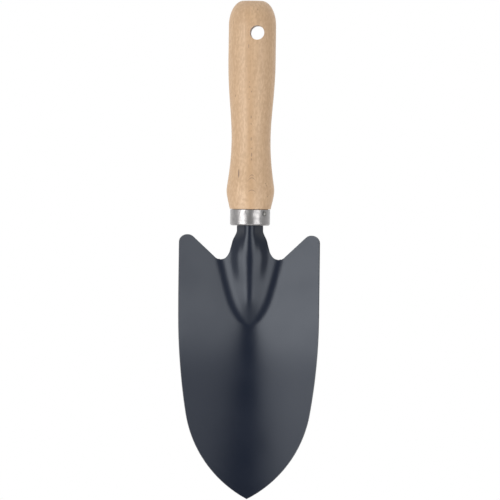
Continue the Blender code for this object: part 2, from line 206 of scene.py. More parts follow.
# %% Sizes of the blank
SHEET_THICKNESS = 0.0015
RIM_RADIUS = 0.0005
BLADE_LENGTH = 0.1723
BLADE_WIDTH = 0.0886
NOSE_RADIUS = 0.0747
TAPER_RADIUS = 0.3623
TAPER_TURN = math.radians(9.67)
HORN_TOP = 0.0059
HORN_RADIUS = 0.0050
NOTCH_BOTTOM = 0.02145
NOTCH_SPREAD = 0.0184
NOTCH_RADIUS = 0.0055
NECK_RADIUS = 0.00765
TANG_LENGTH = 0.062
TANG_END_RADIUS = 0.0030
TANG_END_CHAMFER = 0.002
SCOOP_ANGLE = math.radians(24.0)

rim_flat = SHEET_THICKNESS - 2 * RIM_RADIUS
rim_lean = RIM_RADIUS * (1 - math.cos(SCOOP_ANGLE)) + rim_flat / 2 * math.sin(SCOOP_ANGLE)
blank_half = BLADE_WIDTH / 2 - rim_lean
print("half width of the flat blank, mm:", round(1000 * blank_half, 2))

# %% The outline of the right half
LONG_ARC_STEP = math.radians(0.8)
SHORT_ARC_STEP = math.radians(6.0)


def blank_outline():
    """Right half of the blank as (across, down) points, from the tip up to the tang's end."""
    taper_drop = TAPER_RADIUS * (1.0 - math.cos(TAPER_TURN))
    tip_turn = math.acos(math.cos(TAPER_TURN) - (blank_half - taper_drop) / NOSE_RADIUS)
    nose_centre = (-NOSE_RADIUS * math.cos(tip_turn), BLADE_LENGTH - NOSE_RADIUS * math.sin(tip_turn))
    taper_offset = TAPER_RADIUS - NOSE_RADIUS
    taper_centre = (blank_half - TAPER_RADIUS, nose_centre[1] - taper_offset * math.sin(TAPER_TURN))
    points = arc_points(nose_centre, NOSE_RADIUS, tip_turn, TAPER_TURN, LONG_ARC_STEP)
    points += arc_points(taper_centre, TAPER_RADIUS, TAPER_TURN, 0.0, LONG_ARC_STEP)[1:]

    horn = Vector((blank_half - HORN_RADIUS, HORN_TOP + HORN_RADIUS))
    notch = Vector((NOTCH_SPREAD, NOTCH_BOTTOM - NOTCH_RADIUS))
    gap = notch - horn
    opening = math.acos((HORN_RADIUS + NOTCH_RADIUS) / gap.length)
    horn_end = math.atan2(gap.y, gap.x) + opening - 2.0 * math.pi
    points += arc_points(horn, HORN_RADIUS, 0.0, horn_end, SHORT_ARC_STEP)
    points += arc_points(notch, NOTCH_RADIUS, horn_end + math.pi, math.pi, SHORT_ARC_STEP)

    strip = NOTCH_SPREAD - NOTCH_RADIUS
    strip_end = strip * TANG_END_RADIUS / NECK_RADIUS
    points += [(strip, 0.0), (strip_end, -TANG_LENGTH + TANG_END_CHAMFER)]
    points += [(strip_end - TANG_END_CHAMFER, -TANG_LENGTH), (0.0, -TANG_LENGTH)]
    return points


print("points on half the outline:", len(blank_outline()))

# %% [markdown]
# ## How the press bends the blank
#
# The scoop is a shallow V with a rounded bottom. Towards the tip its sides open
# out and the rounding widens, so that the edge comes down to a flat nose. The
# ridge is pushed forwards between two valleys: a rounded crest, a flat flank on
# each side with a slight step beside the neck, and a round valley at the foot.
# Its section keeps its proportions while it narrows, and fades out where the
# valleys meet. Above the notches the strip folds into the neck, with a tight
# crest and straight sides, and inside the handle it rolls round into the tang.
# The neck opens towards the ridge in two stages, a small step and a wide flare.
# Two functions, one for each area, say where a point of the blank ends up.

# %% The scoop
SCOOP_SETBACK = 0.0095
SCOOP_ROUNDING = 0.0065
NOSE_START = 0.045
NOSE_ROUNDING = 0.019
NOSE_ANGLE = math.radians(14.2)
NOSE_RISE_POWER = 2
NOSE_ROUNDING_POWER = 1.5
OPENING_START = 0.038
OPENING_RUN = 0.058


def scoop_depth(across, down):
    """Where the scoop's middle surface lies behind the handle's axis."""
    nose = max(0.0, (down - NOSE_START) / (BLADE_LENGTH - NOSE_START))
    bottom = SCOOP_SETBACK * (1.0 - nose ** NOSE_RISE_POWER)
    rounding = SCOOP_ROUNDING + (NOSE_ROUNDING - SCOOP_ROUNDING) * nose ** NOSE_ROUNDING_POWER
    opening = smooth_step((down - OPENING_START) / OPENING_RUN)
    angle = SCOOP_ANGLE + (NOSE_ANGLE - SCOOP_ANGLE) * opening
    return bottom - math.tan(angle) * (math.hypot(across, rounding) - rounding)


# %% The ridge and its valleys
RIDGE_END = 0.063
RIDGE_ANGLE = math.radians(24.5)
RIDGE_FADE_SHARE = 0.45
CREST_SHARE = 0.22
VALLEY_FILLET = 0.0044
STEP_HEIGHT = 0.0012
STEP_INNER_SHARE = 0.34
STEP_OUTER_SHARE = 0.66
STEP_END = 0.039


def ridge_share(down):
    """How much of the ridge is left, from 1 at the notches to 0 at its end."""
    return min(1.0, max(0.0, (RIDGE_END - down) / (RIDGE_END - NOTCH_BOTTOM)))


def ridge_half_width(down):
    """How far the valleys lie from the ridge's crest."""
    return NOTCH_SPREAD * math.sqrt(ridge_share(down))


def ridge_strength(down):
    """Share of the ridge's full slope and fillet, which give way before its end."""
    fading = 1.0 - min(ridge_share(down) / RIDGE_FADE_SHARE, 1.0)
    return 1.0 - fading * fading


def ridge_drop(across, down):
    """How far the ridge falls away beside its crest: a rounded crest, a flat flank, and a step in it."""
    slope = math.tan(RIDGE_ANGLE) * ridge_strength(down)
    crest = CREST_SHARE * ridge_half_width(down)
    rounded = min(across, crest)
    place = across / ridge_half_width(down)
    step = smooth_step((place - STEP_INNER_SHARE) / (STEP_OUTER_SHARE - STEP_INNER_SHARE))
    step *= smooth_step((STEP_END - down) / (STEP_END - NOTCH_BOTTOM))
    return slope * (across - rounded + rounded * rounded / (2.0 * crest)) + STEP_HEIGHT * step


def ridge_crest(down):
    """Depth of the ridge's crest line, so that its flanks meet the scoop in the valleys."""
    half_width = ridge_half_width(down)
    return scoop_depth(half_width, down) - ridge_drop(half_width, down)


def blend_low(first, second, width):
    """The lower of two values, with a round transition between them."""
    overlap = max(width - abs(first - second), 0.0)
    return min(first, second) - overlap * overlap / (4.0 * width)


def scoop_surface(across, down):
    """Depth of the pressed sheet in the scoop and on its ridge."""
    if down >= RIDGE_END - WELD:
        return scoop_depth(across, down)
    flank = ridge_crest(down) + ridge_drop(across, down)
    return blend_low(scoop_depth(across, down), flank, VALLEY_FILLET * ridge_strength(down))


# %% The sections of neck and tang
ROLL_TURN = math.radians(111.0)
NECK_CREST_SHARE = 0.44
NECK_SIDE_ANGLE = math.radians(57.0)


def rolled_section(share, radius):
    """Place on the tang's round section, at a share of its length from the crest."""
    turn = ROLL_TURN * share
    return Vector((radius * math.sin(turn), radius * (1.0 - math.cos(turn))))


def creased_section(share, radius):
    """Place on the neck's section, a tight crest and straight sides, at a share of its length."""
    crest = NECK_CREST_SHARE * radius
    crest_length = crest * NECK_SIDE_ANGLE
    side_length = (radius - crest * math.sin(NECK_SIDE_ANGLE)) / math.cos(NECK_SIDE_ANGLE)
    length = share * (crest_length + side_length)
    turn = min(length, crest_length) / crest
    straight = max(length - crest_length, 0.0)
    return Vector((crest * math.sin(turn) + straight * math.cos(turn),
                   crest * (1.0 - math.cos(turn)) + straight * math.sin(turn)))


# %% From the tang through the neck to the ridge
NECK_CREASE_RUN = 0.012
NECK_STRAIGHT = 0.0058
NECK_STEP_START = 0.0032
NECK_STEP_RUN = 0.0074
NECK_STEP_SHARE = 0.5
FLARE_START = 0.0075
FLARE_RUN = 0.0130
SLOPE_PROBE = 0.0003


def neck_opening(down):
    """How far the creased neck has opened out, in two stages that overlap: a small step and a flare."""
    step = smooth_step((down - NECK_STEP_START) / NECK_STEP_RUN)
    flare = smooth_step((down - FLARE_START) / FLARE_RUN)
    return NECK_STEP_SHARE * step + (1.0 - NECK_STEP_SHARE) * flare


def neck_crest(down):
    """Depth of the neck's crest line, level at the ferrule and tangent to the ridge's crest."""
    start = -NECK_RADIUS
    end = ridge_crest(NOTCH_BOTTOM)
    slope = (ridge_crest(NOTCH_BOTTOM + SLOPE_PROBE) - end) / SLOPE_PROBE
    run = NOTCH_BOTTOM - NECK_STRAIGHT
    t = min(max((down - NECK_STRAIGHT) / run, 0.0), 1.0)
    return start + (end - start) * smooth_step(t) + slope * run * (t ** 3 - t ** 2)


def form_neck(across, down):
    """Bend a point of the flat strip into the tang or the neck, which opens out towards the notches."""
    strip = NOTCH_SPREAD - NOTCH_RADIUS
    radius = NECK_RADIUS + (NECK_RADIUS - TANG_END_RADIUS) * min(down, 0.0) / TANG_LENGTH
    share = across / strip * NECK_RADIUS / radius
    crease = smooth_step(1.0 + down / NECK_CREASE_RUN)
    bent = rolled_section(share, radius).lerp(creased_section(share, radius), crease)
    if down <= 0.0:
        return bent.x, bent.y - radius
    opened = Vector((across, scoop_surface(across, NOTCH_BOTTOM) - ridge_crest(NOTCH_BOTTOM)))
    side, drop = bent.lerp(opened, neck_opening(down))
    return side, neck_crest(down) + drop


def form_sheet(point):
    """Move a point of the flat blank to its place on the blade."""
    across, down = point.x, -point.z
    if down < NOTCH_BOTTOM and across < NOTCH_SPREAD:
        side, depth = form_neck(across, down)
    else:
        side, depth = across, scoop_surface(across, down)
    return Vector((side, depth, point.z))


print("crest of the ridge beside the notches, mm:", round(1000 * ridge_crest(NOTCH_BOTTOM), 2))

# %% [markdown]
# ## The rim of the sheet
#
# A stamped edge is dipped or sprayed with the rest, so the coating rounds it. A
# Bevel modifier would do that on a plain box, but along this rim it meets
# hundreds of thin triangles and leaves spikes. So the blank gets narrow rings
# just inside its outline while it is still flat, and a vertex group tells the
# Solidify modifier how thick the sheet is at each ring: thin at the very edge,
# full after half a millimetre.

# %% Narrow rings inside the outline
RIM_RING_TURNS = [math.radians(turn) for turn in (0.0, 30.0, 60.0, 90.0)]


def ring_weight(turn):
    """Share of the sheet's thickness at one ring of the rounded rim, as a vertex weight."""
    thickness = rim_flat + 2 * RIM_RADIUS * math.sin(turn)
    return (thickness - rim_flat) / (SHEET_THICKNESS - rim_flat)


def rimmed_blank():
    """The whole flat blank with its rings, each weighted for its thickness."""
    bm = bmesh.new()
    weights = bm.verts.layers.deform.verify()
    right = blank_outline()
    left = [(-across, down) for across, down in reversed(right[1:-1])]
    inner = bm.faces.new([bm.verts.new((across, 0.0, -down)) for across, down in right + left])
    for vert in inner.verts:
        vert[weights][0] = ring_weight(RIM_RING_TURNS[0])
    for before, after in zip(RIM_RING_TURNS, RIM_RING_TURNS[1:]):
        step = RIM_RADIUS * (math.cos(before) - math.cos(after))
        bmesh.ops.inset_region(bm, faces=[inner], thickness=step, use_even_offset=True)
        for vert in inner.verts:
            vert[weights][0] = ring_weight(after)
    return bm


# %% Cutting the blank into a grid
CROSS_PITCH = 0.0008
FLAT_PITCH = 0.0018
TANG_PITCH = 0.0040
NECK_PITCH = 0.0009
RIDGE_PITCH = 0.0012
NOSE_PITCH = 0.0026
NEAR_CUT = 0.00004


def slice_sheet(bm, place, normal, keep_right=False):
    """Divide the flat blank along a plane, and drop what lies left of it if asked."""
    geometry = bm.verts[:] + bm.edges[:] + bm.faces[:]
    bmesh.ops.bisect_plane(
        bm, geom=geometry, dist=NEAR_CUT, plane_co=place, plane_no=normal, clear_inner=keep_right)


def slice_blank(bm):
    """Keep the right half of the blank and cut it into small cells."""
    slice_sheet(bm, (0.0, 0.0, 0.0), (1.0, 0.0, 0.0), keep_right=True)
    across = spaced(0.0, NOTCH_SPREAD, CROSS_PITCH) + spaced(NOTCH_SPREAD, blank_half, FLAT_PITCH)[:-1]
    down = spaced(-TANG_LENGTH, 0.0, TANG_PITCH) + spaced(0.0, NOTCH_BOTTOM, NECK_PITCH)
    down += spaced(NOTCH_BOTTOM, RIDGE_END, RIDGE_PITCH) + spaced(RIDGE_END, BLADE_LENGTH, NOSE_PITCH)[:-1]
    for value in across:
        slice_sheet(bm, (value, 0.0, 0.0), (1.0, 0.0, 0.0))
    for value in down:
        slice_sheet(bm, (0.0, 0.0, -value), (0.0, 0.0, 1.0))
    print("lines across and down the blank:", len(across), len(down))


# %% Press, mirror and thicken the sheet
def make_blade():
    """The finished blade with neck and tang."""
    bm = rimmed_blank()
    slice_blank(bm)
    bmesh.ops.triangulate(bm, faces=[face for face in bm.faces if len(face.verts) > 4])
    for vert in bm.verts:
        vert.co = form_sheet(vert.co)
    bmesh.ops.recalc_face_normals(bm, faces=bm.faces[:])
    blade = piece_from(bm, "blade_sheet")
    blade.vertex_groups.new(name="thickness")
    mirror = blade.modifiers.new("other_half", "MIRROR")
    mirror.use_axis = (True, False, False)
    mirror.merge_threshold = WELD
    thicken = blade.modifiers.new("sheet", "SOLIDIFY")
    thicken.thickness = SHEET_THICKNESS
    thicken.offset = 0.0
    thicken.use_even_offset = True
    thicken.vertex_group = "thickness"
    thicken.thickness_vertex_group = rim_flat / SHEET_THICKNESS
    settle(blade)
    blade.vertex_groups.clear()
    finish_surface(blade, SHEET_CORNER)
    return blade


blade_sheet = make_blade()

# %% [markdown]
# ## The turned handle
#
# A hand trowel's grip is turned on a lathe: a round butt, a palm, a waist for
# the fingers, a swell, and a shoulder that meets the ferrule. One profile and a
# Screw modifier give exactly that. Curves between the few turned diameters keep
# it fair, as a turner's sweep does. Under the ferrule the wood steps down to a
# spigot, and a tapered socket takes the tang. The hanging hole is drilled from
# front to back a little right of the middle.

# %% Sizes of the handle, from the ferrule's fit outwards
FIT_GAP = 0.0003
FERRULE_LENGTH = 0.0101
FERRULE_WALL = 0.0010
SOCKET_RADIUS = 0.0087
SOCKET_END_RADIUS = 0.00405
SPIGOT_RADIUS = SOCKET_RADIUS + 0.0026
FERRULE_BORE_RADIUS = SPIGOT_RADIUS + FIT_GAP
FERRULE_RADIUS = FERRULE_BORE_RADIUS + FERRULE_WALL
SHOULDER_RADIUS = FERRULE_RADIUS + FIT_GAP
SHOULDER_Z = FERRULE_LENGTH + FIT_GAP
SPIGOT_END_Z = FERRULE_WALL + FIT_GAP
SPIGOT_CHAMFER = 0.0005
GRIP_LENGTH = 0.1312
BUTT_Z = SHOULDER_Z + GRIP_LENGTH
BUTT_FLAT = 0.0057
BUTT_ROUNDING = 0.01575
PALM_RADIUS = 0.0149
WAIST_RADIUS = 0.01228
SWELL_RADIUS = 0.01505
print("butt above the ferrule's edge, mm:", round(1000 * BUTT_Z, 1))

# %% Where the handle's curves begin and how far they reach
ROUND_END_Z = BUTT_Z - BUTT_ROUNDING
PALM_END_Z = BUTT_Z - 0.037
WAIST_Z = SHOULDER_Z + 0.0432
SWELL_Z = SHOULDER_Z + 0.0118
PALM_PITCH = 0.007
PALM_REACH = 0.022
WAIST_REACH = 0.0165
SWELL_REACH = 0.0032
SLOPE_REACH = 0.0045
SHOULDER_SLOPE = math.radians(11.9)
BUTT_POINTS = 24
PALM_POINTS = 30
GRIP_POINTS = 24
SWELL_POINTS = 14


def upright(radius, height, reach):
    """A point where the profile runs straight down, between the guide points above and below it."""
    return (radius, height + reach), (radius, height), (radius, height - reach)


def handle_profile():
    """Outer side of the handle, from the butt's centre down to the spigot's end."""
    points = [(0.0, BUTT_Z)]
    for i in range(BUTT_POINTS + 1):
        turn = math.pi / 2 * (1 - i / BUTT_POINTS)
        radius = BUTT_FLAT + (PALM_RADIUS - BUTT_FLAT) * math.cos(turn)
        points.append((radius, ROUND_END_Z + BUTT_ROUNDING * math.sin(turn)))
    points += [(PALM_RADIUS, ROUND_END_Z - PALM_PITCH * i) for i in (1, 2)]
    points.append((PALM_RADIUS, PALM_END_Z))
    below_palm = (PALM_RADIUS, PALM_END_Z - PALM_REACH)
    above_waist, waist, below_waist = upright(WAIST_RADIUS, WAIST_Z, WAIST_REACH)
    above_swell, swell, below_swell = upright(SWELL_RADIUS, SWELL_Z, SWELL_REACH)
    above_shoulder = (SHOULDER_RADIUS + SLOPE_REACH * math.tan(SHOULDER_SLOPE), SHOULDER_Z + SLOPE_REACH)
    points += bezier_points(points[-1], below_palm, above_waist, waist, PALM_POINTS)
    points += bezier_points(waist, below_waist, above_swell, swell, GRIP_POINTS)
    points += bezier_points(swell, below_swell, above_shoulder, (SHOULDER_RADIUS, SHOULDER_Z), SWELL_POINTS)
    points += [(SPIGOT_RADIUS, SHOULDER_Z), (SPIGOT_RADIUS, SPIGOT_END_Z + SPIGOT_CHAMFER)]
    points += [(SPIGOT_RADIUS - SPIGOT_CHAMFER, SPIGOT_END_Z), (0.0, SPIGOT_END_Z)]
    return points


# %% Socket, hanging hole and pin bore
HANG_HOLE_RADIUS = 0.0045
PIN_ANGLE = math.radians(48.0)
PIN_HEIGHT = 0.0075
PIN_LENGTH = 0.0090
PIN_SHANK = 0.0009
SOCKET_POINT = 0.002
OVERRUN = 0.003
HANDLE_STEPS = 160
SOCKET_STEPS = 72
HANG_HOLE_STEPS = 96
PIN_BORE_STEPS = 32
pin_out = Vector((math.sin(PIN_ANGLE), -math.cos(PIN_ANGLE), 0.0))
pin_seat = pin_out * (FERRULE_RADIUS + FIT_GAP) + Vector((0.0, 0.0, PIN_HEIGHT))


def socket_cutter():
    """The tapered socket that the tang is driven into."""
    top = TANG_LENGTH + FIT_GAP
    taper = (SOCKET_RADIUS - SOCKET_END_RADIUS) / TANG_LENGTH
    mouth = SPIGOT_END_Z - OVERRUN
    mouth_radius = SOCKET_RADIUS - taper * mouth
    profile = [(0.0, top + SOCKET_POINT), (SOCKET_END_RADIUS, top), (mouth_radius, mouth), (0.0, mouth)]
    return turned("socket_cutter", profile, SOCKET_STEPS)


def bar_cutter(name, radius, length, steps, centre, direction):
    """A round bar about a point, for drilling along a direction."""
    bm = bmesh.new()
    bmesh.ops.create_cone(bm, cap_ends=True, segments=steps, radius1=radius, radius2=radius, depth=length)
    bar = piece_from(bm, name)
    bar.location = TOOL_ORIGIN + centre
    bar.rotation_euler = direction.to_track_quat("Z", "Y").to_euler()
    return bar


def pin_bore_cutter():
    """The bore that the pin is driven into."""
    length = PIN_LENGTH + 2 * OVERRUN
    middle = pin_seat - pin_out * PIN_LENGTH / 2
    return bar_cutter("pin_bore", PIN_SHANK + FIT_GAP, length, PIN_BORE_STEPS, middle, pin_out)


def hang_hole_cutter():
    """The hanging hole, drilled from front to back about the world's origin."""
    length = 2 * PALM_RADIUS + OVERRUN
    front_to_back = Vector((0.0, 1.0, 0.0))
    return bar_cutter("hang_hole", HANG_HOLE_RADIUS, length, HANG_HOLE_STEPS, -TOOL_ORIGIN, front_to_back)


# %% Turn and drill the handle
def make_handle():
    """The finished handle."""
    handle = turned("handle_wood", handle_profile(), HANDLE_STEPS)
    cut_away(handle, socket_cutter(), hang_hole_cutter(), pin_bore_cutter())
    finish_surface(handle, TURNED_CORNER)
    return handle


handle_wood = make_handle()
cut_away(blade_sheet, pin_bore_cutter())
finish_surface(blade_sheet, SHEET_CORNER)

# %% [markdown]
# ## The ferrule
#
# The ferrule is a short length of thin plated tube. Its upper edge sits under
# the handle's shoulder, and its lower edge is turned in towards the neck. It has
# been tapped into place, so it is never perfectly round: shallow dents and a
# slight wave break up its reflections. These are too large for a bump map, so
# they move the mesh itself. The fine ripple of the plating is left to the
# finish.

# %% The ferrule's section
MOUTH_RADIUS = 0.0102
MOUTH_CHAMFER = 0.0002
RIM_CURL = 0.0014
CURL_STEP = math.radians(9.0)
FERRULE_EDGE = 0.0002
EDGE_TURNS = (0.5, 1.0)
WALL_PITCH = 0.0004
FERRULE_STEPS = 192


def ferrule_profile():
    """Closed section of the wall, down the outer side, round the curled rim and up the bore."""
    top, outer, bore = FERRULE_LENGTH, FERRULE_RADIUS, FERRULE_BORE_RADIUS
    points = [(outer - FERRULE_EDGE, top)]
    for turn in EDGE_TURNS:
        radius = outer - FERRULE_EDGE * (1 - math.sin(turn))
        points.append((radius, top - FERRULE_EDGE * (1 - math.cos(turn))))
    heights = [RIM_CURL] + spaced(RIM_CURL, top - FERRULE_EDGE, WALL_PITCH)[:-1] + [top - FERRULE_EDGE]
    points += [(outer, height) for height in reversed(heights)]
    points += arc_points((outer - RIM_CURL, RIM_CURL), RIM_CURL, 0.0, -math.pi / 2, CURL_STEP)[1:]
    points += [(MOUTH_RADIUS + MOUTH_CHAMFER, 0.0), (MOUTH_RADIUS, MOUTH_CHAMFER)]
    points += [(MOUTH_RADIUS, FERRULE_WALL), (bore, FERRULE_WALL), (bore, top)]
    return points


# %% Dents and waves
# Each row is one dent: its turn from the front in degrees, and its height,
# width and depth in metres.
DENTS = [
    (-48.0, 0.0042, 0.0016, 0.00010),
    (-33.0, 0.0078, 0.0010, 0.00007),
    (-8.0, 0.0085, 0.0012, 0.00008),
    (2.0, 0.0022, 0.0015, 0.00007),
    (16.0, 0.0063, 0.0013, 0.00008),
    (38.0, 0.0040, 0.0017, 0.00010),
    (118.0, 0.0055, 0.0018, 0.00010),
    (196.0, 0.0035, 0.0015, 0.00009),
    (262.0, 0.0070, 0.0016, 0.00010),
]
WAVE_DEPTH = 0.00004
WAVES_AROUND = 3.0
WAVES_PER_METRE = 160.0


def knock(mesh, radius):
    """Push the outer wall in where something has struck it, and let it wave a little."""
    for vert in mesh.vertices:
        across = math.hypot(vert.co.x, vert.co.y)
        if across < radius - RIM_CURL:
            continue
        turn = math.atan2(vert.co.x, -vert.co.y)
        ring = (WAVES_AROUND * math.cos(turn), WAVES_AROUND * math.sin(turn))
        wave = noise.noise(Vector((*ring, WAVES_PER_METRE * vert.co.z)))
        push = WAVE_DEPTH * (1.0 + wave) / 2
        for dent_turn, height, width, depth in DENTS:
            turned_away = (turn - math.radians(dent_turn) + math.pi) % (2 * math.pi) - math.pi
            away = math.hypot(turned_away * radius, vert.co.z - height)
            push += depth * math.exp(-(away / width) ** 2)
        vert.co.x *= (across - push) / across
        vert.co.y *= (across - push) / across


def make_ferrule():
    """The finished ferrule."""
    ferrule = turned("ferrule_tube", ferrule_profile(), FERRULE_STEPS, closed=True)
    cut_away(ferrule, pin_bore_cutter())
    knock(ferrule.data, FERRULE_RADIUS)
    finish_surface(ferrule, TURNED_CORNER)
    return ferrule


ferrule_tube = make_ferrule()

# %% [markdown]
# ## The pin
#
# One small pin goes through ferrule, wood and tang, so that the blade can't pull
# out. Its head is a flattened dome, knocked slightly out of round by the hammer.
# It is turned like the handle, then its head is nudged.

# %% Turn the pin and knock its head
PIN_HEAD = 0.0016
PIN_HEAD_HEIGHT = 0.0008
PIN_POINT = 0.0012
PIN_STEPS = 48
DOME_STEP = math.radians(5.0)
KNOCK_SHARE = 0.06
KNOCKS_PER_METRE = 1500.0
KNOCK_PLACE = Vector((4.0, 1.0, 0.0))


def pin_profile():
    """Domed head, straight shank and point."""
    dome_radius = (PIN_HEAD ** 2 + PIN_HEAD_HEIGHT ** 2) / (2 * PIN_HEAD_HEIGHT)
    rim_angle = math.asin((dome_radius - PIN_HEAD_HEIGHT) / dome_radius)
    centre = (0.0, PIN_HEAD_HEIGHT - dome_radius)
    points = [(0.0, PIN_HEAD_HEIGHT)]
    points += arc_points(centre, dome_radius, math.pi / 2, rim_angle, DOME_STEP)[1:]
    points += [(PIN_SHANK, 0.0), (PIN_SHANK, PIN_POINT - PIN_LENGTH), (0.0, -PIN_LENGTH)]
    return points


def make_pin():
    """The finished pin."""
    pin = turned("pin_rivet", pin_profile(), PIN_STEPS)
    for vert in settle(pin).vertices:
        if vert.co.z > 0.0:
            flat = noise.noise(KNOCKS_PER_METRE * vert.co + KNOCK_PLACE)
            vert.co.z *= 1.0 - KNOCK_SHARE * (1.0 - flat)
    pin.location = TOOL_ORIGIN + pin_seat
    pin.rotation_euler = pin_out.to_track_quat("Z", "Y").to_euler()
    finish_surface(pin, TURNED_CORNER)
    return pin


pin_rivet = make_pin()

# %% [markdown]
# ## Shared effects
#
# Steel coating, plating and wood all show a fine unevenness that breaks up
# reflections, and coating and plating also show a little wear where edges stand
# proud. Each is a node group with named inputs and outputs, made once and used
# with its own values in each material that shows it. The groups give heights and
# masks only, and the shader itself stays in each material.


# %% Small helpers for node trees
def new_group(name, values, outputs):
    """A shader node group that takes a place and named numbers, and its input and output nodes."""
    tree = bpy.data.node_groups.new(name, "ShaderNodeTree")
    tree.interface.new_socket(name="Place", in_out="INPUT", socket_type="NodeSocketVector")
    for label, value in values.items():
        socket = tree.interface.new_socket(name=label, in_out="INPUT", socket_type="NodeSocketFloat")
        socket.default_value = value
    for label in outputs:
        tree.interface.new_socket(name=label, in_out="OUTPUT", socket_type="NodeSocketFloat")
    return tree, tree.nodes.new("NodeGroupInput").outputs, tree.nodes.new("NodeGroupOutput").inputs


def feed(tree, value, socket):
    """Link another node's result to an input, or give the input a colour or a number."""
    if isinstance(value, bpy.types.NodeSocket):
        tree.links.new(value, socket)
    else:
        socket.default_value = (*value, 1.0) if socket.type == "RGBA" else value


def add_node(tree, kind, values):
    """A shader node with its inputs fed, each named by its label or its number."""
    node = tree.nodes.new("ShaderNode" + kind)
    for label, value in values.items():
        feed(tree, value, node.inputs[label])
    return node


def add_math(tree, operation, *values):
    """A Math node, and its result."""
    node = add_node(tree, "Math", dict(enumerate(values)))
    node.operation = operation
    return node.outputs[0]


def add_range(tree, value, low, high, to_low=0.0, to_high=1.0):
    """A smooth Map Range node, and its result."""
    limits = {"From Min": low, "From Max": high, "To Min": to_low, "To Max": to_high}
    node = add_node(tree, "MapRange", {"Value": value, **limits})
    node.interpolation_type = "SMOOTHSTEP"
    return node.outputs["Result"]


def add_noise(tree, place, scale, detail=2.0, roughness=0.5):
    """A Noise Texture node, and its grey result."""
    values = {"Vector": place, "Scale": scale, "Detail": detail, "Roughness": roughness}
    return add_node(tree, "TexNoise", values).outputs["Fac"]


# %% Fine unevenness
uneven, given, results = new_group(
    "fine_unevenness", {"Grain per metre": 600.0, "Patches per metre": 40.0}, ["Height", "Patches"])
grain = add_noise(uneven, given["Place"], given["Grain per metre"], 1.0)
patches = add_noise(uneven, given["Place"], given["Patches per metre"], 3.0)
uneven.links.new(grain, results["Height"])
uneven.links.new(add_range(uneven, patches, 0.3, 0.7), results["Patches"])

# %% Wear along edges
WEAR_REACH = 0.06
WEAR_GRAIN = 900.0
wear, given, results = new_group("edge_wear", {"Sharpness": 0.56, "Amount": 0.5}, ["Mask"])
bend = wear.nodes.new("ShaderNodeNewGeometry").outputs["Pointiness"]
proud = add_math(wear, "SUBTRACT", bend, given["Sharpness"])
proud = add_range(wear, proud, 0.0, WEAR_REACH)
broken = add_noise(wear, given["Place"], WEAR_GRAIN, 3.0)
worn = add_math(wear, "MULTIPLY", proud, add_range(wear, broken, 0.42, 0.68))
wear.links.new(add_math(wear, "MULTIPLY", worn, given["Amount"]), results["Mask"])
print("groups:", [group.name for group in (uneven, wear)])


# %% Starting a material
def start_material(name):
    """A new material with its node tree, its shader and the piece's own coordinates."""
    material = bpy.data.materials.new(name)
    material.use_nodes = True
    tree = material.node_tree
    place = tree.nodes.new("ShaderNodeTexCoord").outputs["Object"]
    return material, tree, tree.nodes["Principled BSDF"], place


def add_group(tree, group, place, **values):
    """A shared group in a material, with its own values, and its results."""
    node = tree.nodes.new("ShaderNodeGroup")
    node.node_tree = group
    tree.links.new(place, node.inputs["Place"])
    for label, value in values.items():
        node.inputs[label.replace("_", " ")].default_value = value
    return node.outputs


def add_mix(tree, share, first, second):
    """Mix two colours, each given as a colour or a socket."""
    node = add_node(tree, "Mix", {0: share})
    node.data_type = "RGBA"
    colours = [socket for socket in node.inputs if socket.type == "RGBA"]
    for socket, value in zip(colours, (first, second)):
        feed(tree, value, socket)
    return next(socket for socket in node.outputs if socket.type == "RGBA")


def add_bump(tree, shader, height, depth, strength):
    """Raise the surface by a height, at a depth in metres."""
    node = add_node(tree, "Bump", {"Strength": strength, "Distance": depth, "Height": height})
    tree.links.new(node.outputs["Normal"], shader.inputs["Normal"])


# %% [markdown]
# ## The slate coating
#
# The blade has a dark blue-grey coating with a satin gloss. It isn't black: its
# own colour is very dark, and the softboxes lift the two sides of the scoop to
# slate. So the colour stays dark and plain, and most of the work is in the
# gloss: a fine orange peel in the height, roughness that changes in soft
# patches, and a thin paler rub where the rim stands proud.

# %% The coating's material
coating, tree, shader, place = start_material("slate_coating")
skin = add_group(tree, uneven, place, Grain_per_metre=900.0, Patches_per_metre=45.0)
rub = add_group(tree, wear, place, Sharpness=0.57, Amount=0.35)
tone = add_mix(tree, skin["Patches"], (0.0062, 0.0100, 0.0215), (0.0076, 0.0115, 0.0235))
tree.links.new(add_mix(tree, rub["Mask"], tone, (0.050, 0.058, 0.076)), shader.inputs["Base Color"])
gloss = add_math(tree, "MULTIPLY_ADD", skin["Patches"], 0.04, 0.30)
tree.links.new(add_math(tree, "ADD", gloss, rub["Mask"]), shader.inputs["Roughness"])
shader.inputs["Specular Tint"].default_value = (0.89, 0.94, 1.0, 1.0)
add_bump(tree, shader, skin["Height"], 0.00002, 0.35)
print("coating nodes:", len(tree.nodes))

# %% [markdown]
# ## The pale hardwood
#
# The handle is pale beech, sanded and thinly sealed. The rings of a tree are
# nested tubes, and the handle is cut from well outside the heart, so the rings
# cross it almost flat, with hardly any contrast. That is copied here: rings
# about an axis far in front of the handle and slightly tilted, not stripes
# painted on. Down the middle of the front and of the back runs a browner strip,
# which is painted shade: it stands for the darker middle between the two
# highlights. The ends of the wood's rays show as short dark dashes in line with
# the grain, most of them along that strip. Over all this lie long fibres.

# %% Rings, fibres and clouds
wood, tree, shader, place = start_material("pale_hardwood")


def add_mapping(tree, place, location=(0.0, 0.0, 0.0), rotation=(0.0, 0.0, 0.0), scale=(1.0, 1.0, 1.0)):
    """Move, turn and stretch the coordinates that a texture reads."""
    values = {"Vector": place, "Location": location, "Rotation": rotation, "Scale": scale}
    return add_node(tree, "Mapping", values).outputs["Vector"]


